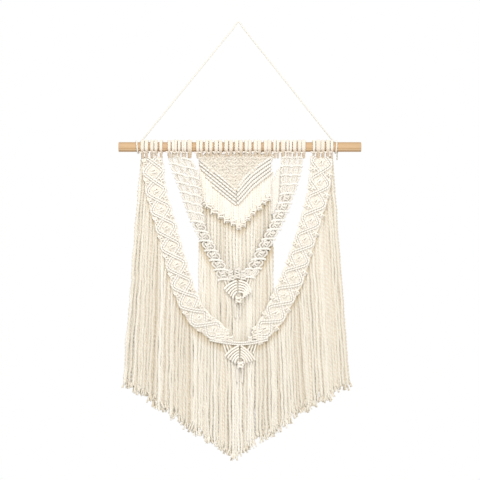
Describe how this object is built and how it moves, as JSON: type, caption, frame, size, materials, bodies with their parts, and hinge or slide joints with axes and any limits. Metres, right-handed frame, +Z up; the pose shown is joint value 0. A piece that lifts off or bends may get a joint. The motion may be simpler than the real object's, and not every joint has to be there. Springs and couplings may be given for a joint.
{
  "type": "macrame wall hanging on wooden dowel",
  "caption": "Knotted cotton wall hanging: a centre panel and two garlands with leaf pendants and long pointed fringes, looped on a wooden dowel that hangs from a taut cord.",
  "frame": {"origin": "the top of the hanging cord, at the middle of its thickness, where it lies on the nail or hook that holds it", "axes": "+Z up, -Y towards the viewer, the wall on the +Y side, +X along the dowel to the viewer's right"},
  "size_m": [0.4, 0.0292, 0.719],
  "materials": {
    "wood": "bare sanded softwood",
    "cord_cotton": "twisted natural cotton string",
    "knotted_cotton": "matte twisted natural cotton rope",
    "fringe_cotton": "matte twisted natural cotton rope, loose"
  },
  "bodies": {
    "root": {"dowel": "wood", "hanging_cord": "cord_cotton", "centre_panel": "knotted_cotton", "inner_garland": "knotted_cotton", "outer_garland": "knotted_cotton", "centre_fringe": "fringe_cotton", "inner_fringe": "fringe_cotton", "outer_fringe": "fringe_cotton"}
  },
  "joints": []
}
